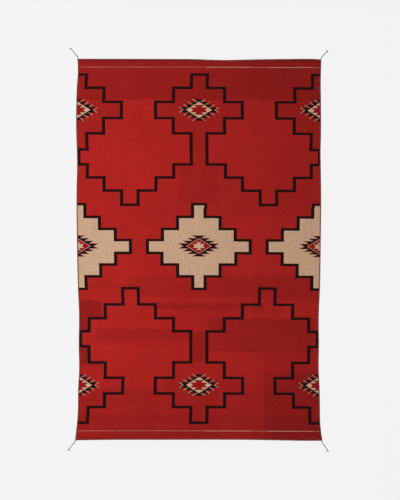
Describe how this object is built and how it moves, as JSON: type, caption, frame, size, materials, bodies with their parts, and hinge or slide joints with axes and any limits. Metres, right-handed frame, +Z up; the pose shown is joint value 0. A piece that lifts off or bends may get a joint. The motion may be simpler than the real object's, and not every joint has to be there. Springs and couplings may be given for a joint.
{
  "type": "handwoven wool rug",
  "caption": "Flat tapestry-woven wool rug, longer than wide, with corded edges, slightly uneven sides and a short knotted tie at each corner.",
  "frame": {"origin": "on the floor under the middle of the rug", "axes": "+Y along the rug's length towards its top end, +X to the right as seen from above, +Z up through the thickness"},
  "size_m": [1.306, 2.0227, 0.006],
  "materials": {
    "wool_weave": "weft-faced wool tapestry weave, mostly red with near-black stepped lines and tan stepped crosses, matt with a faint sheen",
    "edge_cord": "dark red twisted wool cord, matt",
    "tie_cord": "brownish red and grey wool plies twisted together, matt"
  },
  "bodies": {
    "root": {"rug_cloth": "wool_weave", "side_cord_left": "edge_cord", "side_cord_right": "edge_cord", "end_cord_top": "edge_cord", "end_cord_bottom": "edge_cord", "tie_top_left": "tie_cord", "tie_top_right": "tie_cord", "tie_bottom_left": "tie_cord", "tie_bottom_right": "tie_cord", "knot_top_left": "tie_cord", "knot_top_right": "tie_cord", "knot_bottom_left": "tie_cord", "knot_bottom_right": "tie_cord"}
  },
  "joints": []
}
